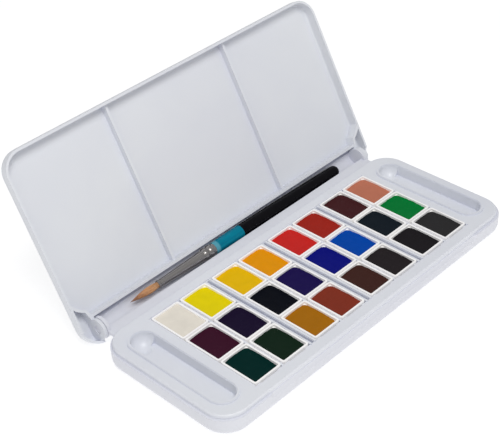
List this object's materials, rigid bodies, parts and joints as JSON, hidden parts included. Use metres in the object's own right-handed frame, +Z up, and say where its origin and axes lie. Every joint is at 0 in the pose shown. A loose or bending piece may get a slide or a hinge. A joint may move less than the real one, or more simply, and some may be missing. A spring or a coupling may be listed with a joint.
{
  "type": "watercolour pan set",
  "caption": "Folding watercolour box: removable half pans in a tray with side wells, a hinged lid divided into mixing wells, and a brush in the gutter at the hinge.",
  "frame": {"origin": "centre of the base's underside: midway along the hinge direction, under the middle of the pan block", "axes": "+X along the hinge, +Y from the front edge towards the hinge, +Z up; drawn with the lid open"},
  "size_m": [0.178, 0.1212, 0.0777],
  "materials": {
    "shell_plastic": "smooth white moulded plastic, satin gloss",
    "tray_plastic": "smooth white moulded plastic, satin gloss",
    "lid_plastic": "smooth white moulded plastic, satin gloss",
    "pan_plastic": "thin white moulded plastic",
    "lacquered_wood": "glossy black lacquer with a teal band at the ferrule",
    "nickel": "polished nickel-plated brass",
    "hair": "tan sable-like brush hair, dark at the root",
    "paint_a1": "dried watercolour cake, cream, semi-gloss",
    "paint_a2": "dried watercolour cake, lemon yellow, semi-gloss",
    "paint_a3": "dried watercolour cake, deep yellow, semi-gloss",
    "paint_a4": "dried watercolour cake, orange yellow, semi-gloss",
    "paint_a5": "dried watercolour cake, red, semi-gloss",
    "paint_a6": "dried watercolour cake, crimson, semi-gloss",
    "paint_a7": "dried watercolour cake, dark maroon, semi-gloss",
    "paint_a8": "dried watercolour cake, salmon earth, semi-gloss",
    "paint_b1": "dried watercolour cake, maroon, semi-gloss",
    "paint_b2": "dried watercolour cake, dark violet, semi-gloss",
    "paint_b3": "dried watercolour cake, indigo black, semi-gloss",
    "paint_b4": "dried watercolour cake, violet blue, semi-gloss",
    "paint_b5": "dried watercolour cake, ultramarine, semi-gloss",
    "paint_b6": "dried watercolour cake, cobalt blue, semi-gloss",
    "paint_b7": "dried watercolour cake, blue black, semi-gloss",
    "paint_b8": "dried watercolour cake, green, semi-gloss",
    "paint_c1": "dried watercolour cake, dark green, semi-gloss",
    "paint_c2": "dried watercolour cake, olive green, semi-gloss",
    "paint_c3": "dried watercolour cake, ochre, semi-gloss",
    "paint_c4": "dried watercolour cake, brick red, semi-gloss",
    "paint_c5": "dried watercolour cake, dark brown, semi-gloss",
    "paint_c6": "dried watercolour cake, brown black, semi-gloss",
    "paint_c7": "dried watercolour cake, black, semi-gloss",
    "paint_c8": "dried watercolour cake, grey black, semi-gloss"
  },
  "bodies": {
    "base": {"base_shell": "shell_plastic", "pan_tray": "tray_plastic"},
    "lid": {"lid": "lid_plastic"},
    "brush": {"brush_handle": "lacquered_wood", "brush_ferrule": "nickel", "brush_bristles": "hair"},
    "half_pan_a1": {"pan_a1": "pan_plastic", "paint_a1": "paint_a1"},
    "half_pan_a2": {"pan_a2": "pan_plastic", "paint_a2": "paint_a2"},
    "half_pan_a3": {"pan_a3": "pan_plastic", "paint_a3": "paint_a3"},
    "half_pan_a4": {"pan_a4": "pan_plastic", "paint_a4": "paint_a4"},
    "half_pan_a5": {"pan_a5": "pan_plastic", "paint_a5": "paint_a5"},
    "half_pan_a6": {"pan_a6": "pan_plastic", "paint_a6": "paint_a6"},
    "half_pan_a7": {"pan_a7": "pan_plastic", "paint_a7": "paint_a7"},
    "half_pan_a8": {"pan_a8": "pan_plastic", "paint_a8": "paint_a8"},
    "half_pan_b1": {"pan_b1": "pan_plastic", "paint_b1": "paint_b1"},
    "half_pan_b2": {"pan_b2": "pan_plastic", "paint_b2": "paint_b2"},
    "half_pan_b3": {"pan_b3": "pan_plastic", "paint_b3": "paint_b3"},
    "half_pan_b4": {"pan_b4": "pan_plastic", "paint_b4": "paint_b4"},
    "half_pan_b5": {"pan_b5": "pan_plastic", "paint_b5": "paint_b5"},
    "half_pan_b6": {"pan_b6": "pan_plastic", "paint_b6": "paint_b6"},
    "half_pan_b7": {"pan_b7": "pan_plastic", "paint_b7": "paint_b7"},
    "half_pan_b8": {"pan_b8": "pan_plastic", "paint_b8": "paint_b8"},
    "half_pan_c1": {"pan_c1": "pan_plastic", "paint_c1": "paint_c1"},
    "half_pan_c2": {"pan_c2": "pan_plastic", "paint_c2": "paint_c2"},
    "half_pan_c3": {"pan_c3": "pan_plastic", "paint_c3": "paint_c3"},
    "half_pan_c4": {"pan_c4": "pan_plastic", "paint_c4": "paint_c4"},
    "half_pan_c5": {"pan_c5": "pan_plastic", "paint_c5": "paint_c5"},
    "half_pan_c6": {"pan_c6": "pan_plastic", "paint_c6": "paint_c6"},
    "half_pan_c7": {"pan_c7": "pan_plastic", "paint_c7": "paint_c7"},
    "half_pan_c8": {"pan_c8": "pan_plastic", "paint_c8": "paint_c8"}
  },
  "joints": [
    {"name": "lid_hinge", "type": "hinge", "parent": "base", "child": "lid", "pos_m": [0, 0.0434, 0.0078], "axis": [-1, 0, 0], "range_deg": [-117.5, 0]},
    {"name": "brush_lift", "type": "slide", "parent": "base", "child": "brush", "axis": [0, -0.454, 0.891], "range_m": [0, 0.03]},
    {"name": "pan_a1_lift", "type": "slide", "parent": "base", "child": "half_pan_a1", "axis": [0, 0, 1], "range_m": [0, 0.012]},
    {"name": "pan_a2_lift", "type": "slide", "parent": "base", "child": "half_pan_a2", "axis": [0, 0, 1], "range_m": [0, 0.012]},
    {"name": "pan_a3_lift", "type": "slide", "parent": "base", "child": "half_pan_a3", "axis": [0, 0, 1], "range_m": [0, 0.012]},
    {"name": "pan_a4_lift", "type": "slide", "parent": "base", "child": "half_pan_a4", "axis": [0, 0, 1], "range_m": [0, 0.012]},
    {"name": "pan_a5_lift", "type": "slide", "parent": "base", "child": "half_pan_a5", "axis": [0, 0, 1], "range_m": [0, 0.012]},
    {"name": "pan_a6_lift", "type": "slide", "parent": "base", "child": "half_pan_a6", "axis": [0, 0, 1], "range_m": [0, 0.012]},
    {"name": "pan_a7_lift", "type": "slide", "parent": "base", "child": "half_pan_a7", "axis": [0, 0, 1], "range_m": [0, 0.012]},
    {"name": "pan_a8_lift", "type": "slide", "parent": "base", "child": "half_pan_a8", "axis": [0, 0, 1], "range_m": [0, 0.012]},
    {"name": "pan_b1_lift", "type": "slide", "parent": "base", "child": "half_pan_b1", "axis": [0, 0, 1], "range_m": [0, 0.012]},
    {"name": "pan_b2_lift", "type": "slide", "parent": "base", "child": "half_pan_b2", "axis": [0, 0, 1], "range_m": [0, 0.012]},
    {"name": "pan_b3_lift", "type": "slide", "parent": "base", "child": "half_pan_b3", "axis": [0, 0, 1], "range_m": [0, 0.012]},
    {"name": "pan_b4_lift", "type": "slide", "parent": "base", "child": "half_pan_b4", "axis": [0, 0, 1], "range_m": [0, 0.012]},
    {"name": "pan_b5_lift", "type": "slide", "parent": "base", "child": "half_pan_b5", "axis": [0, 0, 1], "range_m": [0, 0.012]},
    {"name": "pan_b6_lift", "type": "slide", "parent": "base", "child": "half_pan_b6", "axis": [0, 0, 1], "range_m": [0, 0.012]},
    {"name": "pan_b7_lift", "type": "slide", "parent": "base", "child": "half_pan_b7", "axis": [0, 0, 1], "range_m": [0, 0.012]},
    {"name": "pan_b8_lift", "type": "slide", "parent": "base", "child": "half_pan_b8", "axis": [0, 0, 1], "range_m": [0, 0.012]},
    {"name": "pan_c1_lift", "type": "slide", "parent": "base", "child": "half_pan_c1", "axis": [0, 0, 1], "range_m": [0, 0.012]},
    {"name": "pan_c2_lift", "type": "slide", "parent": "base", "child": "half_pan_c2", "axis": [0, 0, 1], "range_m": [0, 0.012]},
    {"name": "pan_c3_lift", "type": "slide", "parent": "base", "child": "half_pan_c3", "axis": [0, 0, 1], "range_m": [0, 0.012]},
    {"name": "pan_c4_lift", "type": "slide", "parent": "base", "child": "half_pan_c4", "axis": [0, 0, 1], "range_m": [0, 0.012]},
    {"name": "pan_c5_lift", "type": "slide", "parent": "base", "child": "half_pan_c5", "axis": [0, 0, 1], "range_m": [0, 0.012]},
    {"name": "pan_c6_lift", "type": "slide", "parent": "base", "child": "half_pan_c6", "axis": [0, 0, 1], "range_m": [0, 0.012]},
    {"name": "pan_c7_lift", "type": "slide", "parent": "base", "child": "half_pan_c7", "axis": [0, 0, 1], "range_m": [0, 0.012]},
    {"name": "pan_c8_lift", "type": "slide", "parent": "base", "child": "half_pan_c8", "axis": [0, 0, 1], "range_m": [0, 0.012]}
  ]
}
